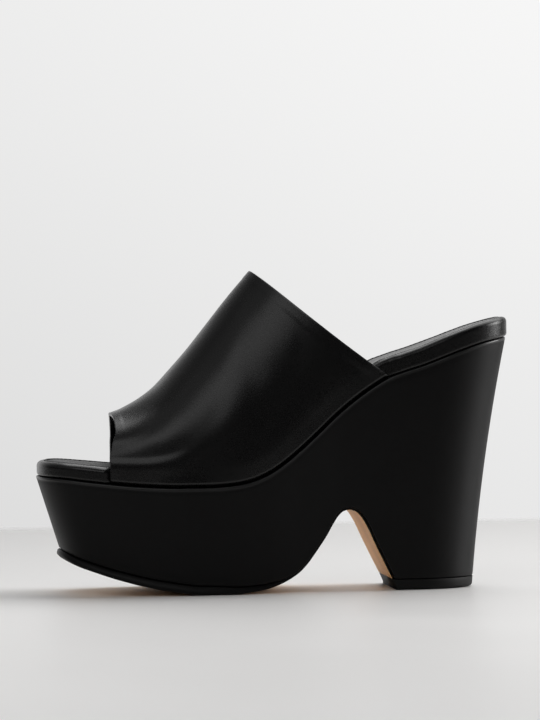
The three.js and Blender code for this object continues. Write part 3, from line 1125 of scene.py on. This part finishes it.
def clear_of_footbed(point):
    """A point of the lining, moved out where it would go into the footbed's rim."""
    x, y, z = point
    side = LATERAL if y < 0 else MEDIAL
    limit = outline(along_at(x), side, UPPER_REVEAL + UPPER_WALL + GAP / 2)[1]
    top = footbed_top_z(x)
    out = mix(side * y, side * limit, step(z, top, top - 1.5))
    return Vector((x, side * max(side * y, out), z))


def fold_depth(point, around, folds):
    """How far the folds, each with its line, press a point of the upper inwards."""
    depth = 0
    for fold, line in folds:
        strength = fold["lateral" if around < 0.5 else "medial"]
        if not strength:
            continue

        def height(x):
            return line(x / SHOE_LENGTH) * HEEL_HEIGHT

        distance = (point.z - height(point.x)) / steepness(height, point.x)
        first, last = fold["line"][0][0], fold["line"][-1][0]
        share = (point.x / SHOE_LENGTH - first) / (last - first)
        sets_in, dies_away = fold["fade"]
        strength *= smooth(share / sets_in) if sets_in > 0 else 1
        strength *= 1 - step(share, dies_away, 1)
        spread = fold["spread"][distance > 0]
        depth += fold["depth"] * strength * math.exp(-((distance / spread) ** 2))
    way = min(around, 1 - around)
    return depth * smooth(way / (FOLDS_GROW * WALL_SHARE)) * smooth((0.5 - way) / FOLDS_END)


def rank(point):
    return sum(weight * value for weight, value in zip(RANK_WEIGHTS, point))


class MULE_OT_upper(bpy.types.Operator):
    """Makes the upper: leather outside, lining inside, soft folds and rounded edges"""

    bl_idname = "mule.upper"
    bl_label = "Upper"

    def execute(self, context):
        leather = context.scene.mule_leather
        sizes = context.scene.mule_upper
        turned_edge, turned_height = sizes.turned_edge / MM, sizes.turned_height / MM
        folds = [(fold, line_through(fold["line"], 1)) for fold in FOLDS]

        shape = bmesh.new()
        bmesh.ops.create_grid(shape, x_segments=BACK_STEPS, y_segments=AROUND_STEPS, size=0.5)
        ends = {}
        places = {}
        for vertex in shape.verts:
            back = vertex.co.x + 0.5
            around = round((vertex.co.y + 0.5) * AROUND_STEPS) / AROUND_STEPS
            if around not in ends:
                ends[around] = upper_ends(around)
            start, end = ends[around]
            length = (last_point(end, around) - last_point(start, around)).length
            vertex.co = last_point(mix(start, end, back), around)
            places[vertex] = back * length, (1 - back) * length, around
        shape.normal_update()

        for vertex, (from_toe, from_collar, around) in places.items():
            way = min(around, 1 - around)
            turned = step(from_collar, turned_edge + 0.6, turned_edge - 0.6)
            turned += 0.5 * step(from_toe, turned_edge + 0.8, turned_edge - 0.8)
            uneven = sum(noise.noise(vertex.co * waves) * height for waves, height in UNEVEN)
            out = (turned * turned_height + uneven) * smooth(way / (UNEVEN_GROWS * WALL_SHARE))
            out -= fold_depth(vertex.co, around, folds) * sizes.creases
            out -= UPPER_TUCK * (1 - smooth(way / (TUCK_SHARE * WALL_SHARE)))
            vertex.co += vertex.normal * out
        shape.normal_update()

        outside = set(shape.faces)
        bmesh.ops.solidify(shape, geom=shape.faces[:], thickness=UPPER_WALL)
        for face in shape.faces:
            face.material_index = 0 if any(vertex in places for vertex in face.verts) else 1
        for vertex in shape.verts:
            if vertex not in places:
                vertex.co = clear_of_footbed(vertex.co)

        def at_end(vertex):
            return vertex in places and min(places[vertex][:2]) < 0.001

        sharp = {}
        for face in shape.faces:
            if face not in outside and sum(at_end(vertex) for vertex in face.verts) == 2:
                for edge in face.edges:
                    if sum(vertex in places for vertex in edge.verts) != 1:
                        sharp[edge] = True
        bmesh.ops.bevel(
            shape,
            geom=list(sharp),
            offset=UPPER_WALL * UPPER_EDGE_BEVEL,
            segments=4,
            profile=0.5,
            affect="EDGES",
            material=-1,
            clamp_overlap=True,
        )
        # The bevel's own order of points and faces differs from run to run
        shape.verts.sort(key=lambda vertex: rank(vertex.co))
        shape.faces.sort(key=lambda face: rank(face.calc_center_median()))
        edge = shape.verts.layers.float.new("edge")
        for vertex in shape.verts:
            vertex[edge] = float(collar_z(vertex.co.x) - vertex.co.z < UPPER_WALL / 2)
        bmesh.ops.scale(shape, vec=(MM, MM, MM), verts=shape.verts)
        cover = smooth_leather(
            "upper leather", leather.black, leather.upper_gloss, leather.grain, 0.03, 0.32
        )
        lining = lining_leather("lining", leather.black)
        piece = finish_mesh("upper_leather", shape, [cover, lining])
        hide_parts("upper")
        return {"FINISHED"}


# The studio

CAMERA_PLACE = (-261.2, -2484.8, 164.2)
CAMERA_AIM = (-0.5, 0, 112.1)
CAMERA_ROLL = math.radians(0.75)
CAMERA_LENS = 254.9
CAMERA_SENSOR = 36
# The floor reaches from just outside the view to the foot of the wall, where it fades
FLOOR_START = -750
FLOOR_END = 626
FLOOR_FADE = 60
FLOOR_HALF_WIDTH = 3000
FLOOR_DROP = 0.2
# The part of the floor's colour that is left at its far end, and from where it darkens: this is
# painted shade, the floor's colour made darker towards the back where less light reaches it
FLOOR_FAR_PAINTED_SHADE = 0.74
FLOOR_PAINTED_SHADE_SPAN = (-0.25, 0.75)
# Name of the light and of its setting; place; aim; width; height
SOFTBOXES = (
    ("overhead", (450, 720, 1450), (0, 0, 0), 2000, 1700),
    ("front", (-512, -1088, 1116), (0, 0, 80), 1100, 620),
    ("side", (1500, 150, 600), (0, 0, 60), 700, 900),
)


def looking(place, aim):
    """The turn of a camera or light that looks from a place to its aim."""
    return (Vector(aim) - Vector(place)).normalized().to_track_quat("-Z", "Y")


def set_camera(scene):
    camera = bpy.data.cameras.new("camera")
    camera.lens = CAMERA_LENS
    camera.sensor_width = CAMERA_SENSOR
    camera.clip_start = 0.1
    camera.clip_end = 50
    seat = add_to_scene("camera", camera)
    seat.location = Vector(CAMERA_PLACE) * MM
    seat.rotation_mode = "QUATERNION"
    back = (Vector(CAMERA_PLACE) - Vector(CAMERA_AIM)).normalized()
    seat.rotation_quaternion = Quaternion(back, -CAMERA_ROLL) @ looking(CAMERA_PLACE, CAMERA_AIM)
    scene.camera = seat


def softbox(name, place, aim, width, height, power):
    light = bpy.data.lights.new(name, "AREA")
    light.shape = "RECTANGLE"
    light.size = width * MM
    light.size_y = height * MM
    light.energy = power
    lamp = add_to_scene(name, light)
    lamp.location = Vector(place) * MM
    lamp.rotation_euler = looking(place, aim).to_euler()


def lay_floor(colour):
    """A semi-gloss floor, in which the shoe is softly reflected."""
    shape = bmesh.new()
    bmesh.ops.create_grid(shape, x_segments=8, y_segments=8, size=1)
    half = (FLOOR_END - FLOOR_START) / 2 * MM
    middle = (FLOOR_START + FLOOR_END) / 2 * MM
    bmesh.ops.scale(shape, vec=(FLOOR_HALF_WIDTH * MM, half, 1), verts=shape.verts)
    bmesh.ops.translate(shape, vec=(0, middle, -FLOOR_DROP * MM), verts=shape.verts)
    mesh = bpy.data.meshes.new("floor")
    shape.to_mesh(mesh)
    shape.free()
    material, finish = new_material("floor")
    where = finish.place()
    depth = finish.axis(where, "Y")
    mottle = finish.speckle(where, 9)
    near = finish.tones(mottle, colour, 0.985, 1.015)
    finish.surface(
        # Painted shade: the floor's colour darkens towards the back, in place of the light falling
        # off there
        Base_Color=finish.blend(depth.between(*FLOOR_PAINTED_SHADE_SPAN), near, shade(colour, FLOOR_FAR_PAINTED_SHADE)),
        Roughness=mottle * 0.06 + 0.37,
        Alpha=1 - depth.between((FLOOR_END - FLOOR_FADE) * MM, FLOOR_END * MM),
    )
    mesh.materials.append(material)
    add_to_scene("floor", mesh)


def paint_world(scene):
    """The pale wall that is seen, brighter to the right and upwards as painted light, and the dim
    studio that the shoe's surfaces reflect.
    """
    stage = scene.mule_stage
    world = bpy.data.worlds.new("studio")
    world.use_nodes = True
    scene.world = world
    finish = Finish(world.node_tree)
    heading = finish.node("ShaderNodeTexCoord", output="Generated")
    x = finish.axis(heading, "X")
    y, z = x.output("Y"), x.output("Z")

    def glow(colour, strength):
        return finish.node("ShaderNodeBackground", {}, {"Color": colour, "Strength": strength})

    # Painted light: the wall that is seen grows brighter towards the right and upwards, standing
    # in for light falling unevenly on it
    wall = x.between(-0.02, 0.2) * 0.12 + z.between(-0.09, 0.08) * 0.15 + 0.68
    behind = y.between(0.55, 0.98) * (z.between(0.45, 0.1) * 0.75 + 0.25) * stage.backdrop
    above = x.between(0.25, -0.5) * z.between(0.15, 0.6) * y.between(-0.95, -0.5) * stage.fill
    above = above * (y.between(0.4, -0.1) * 0.7 + 0.3)
    ahead = y.between(-0.5, -0.9) * z.between(0.02, 0.25) * z.between(0.6, 0.35) * 0.06
    seen = glow((1, 0.999, 0.997, 1), wall)
    felt = glow((1, 1, 1, 1), behind + above + ahead + 0.045)
    to_camera = finish.node("ShaderNodeLightPath", output="Is Camera Ray")
    both = finish.node("ShaderNodeMixShader", {}, {0: to_camera, 1: felt, 2: seen})
    finish.node("ShaderNodeOutputWorld", {}, {"Surface": both})


class MULE_OT_stage(bpy.types.Operator):
    """Sets the camera, floor, wall and soft studio light"""

    bl_idname = "mule.stage"
    bl_label = "Stage"

    def execute(self, context):
        scene = context.scene
        set_camera(scene)
        lay_floor(scene.mule_stage.floor)
        paint_world(scene)
        for name, *sizes in SOFTBOXES:
            softbox(name, *sizes, getattr(scene.mule_stage, name))
        scene.view_settings.view_transform = "Standard"
        return {"FINISHED"}


PIECES = ("stage", "wedge", "outsole", "heel_cap", "footbed", "sock", "stitching", "upper")


class MULE_PT_panel(bpy.types.Panel):
    """The mule's pieces and settings"""

    bl_idname = "MULE_PT_panel"
    bl_label = "Wedge mule"
    bl_space_type = "VIEW_3D"
    bl_region_type = "UI"
    bl_category = "Mule"

    def draw(self, context):
        layout = self.layout
        for name in PIECES:
            layout.operator(f"mule.{name}")
        scene = context.scene
        for group in (scene.mule_leather, scene.mule_upper, scene.mule_footbed, scene.mule_stage):
            box = layout.box()
            for key in type(group).__annotations__:
                box.prop(group, key)


GROUPS = {
    "mule_leather": MuleLeather,
    "mule_upper": MuleUpper,
    "mule_footbed": MuleFootbed,
    "mule_stage": MuleStage,
}
OPERATORS = (
    MULE_OT_stage,
    MULE_OT_wedge,
    MULE_OT_outsole,
    MULE_OT_heel_cap,
    MULE_OT_footbed,
    MULE_OT_sock,
    MULE_OT_stitching,
    MULE_OT_upper,
)
CLASSES = (*GROUPS.values(), *OPERATORS, MULE_PT_panel)


def register():
    for kind in CLASSES:
        bpy.utils.register_class(kind)
    for name, group in GROUPS.items():
        setattr(bpy.types.Scene, name, bpy.props.PointerProperty(type=group))


def unregister():
    for name in GROUPS:
        delattr(bpy.types.Scene, name)
    for kind in reversed(CLASSES):
        bpy.utils.unregister_class(kind)


def main():
    register()
    for name in PIECES:
        getattr(bpy.ops.mule, name)()


if __name__ == "__main__":
    main()
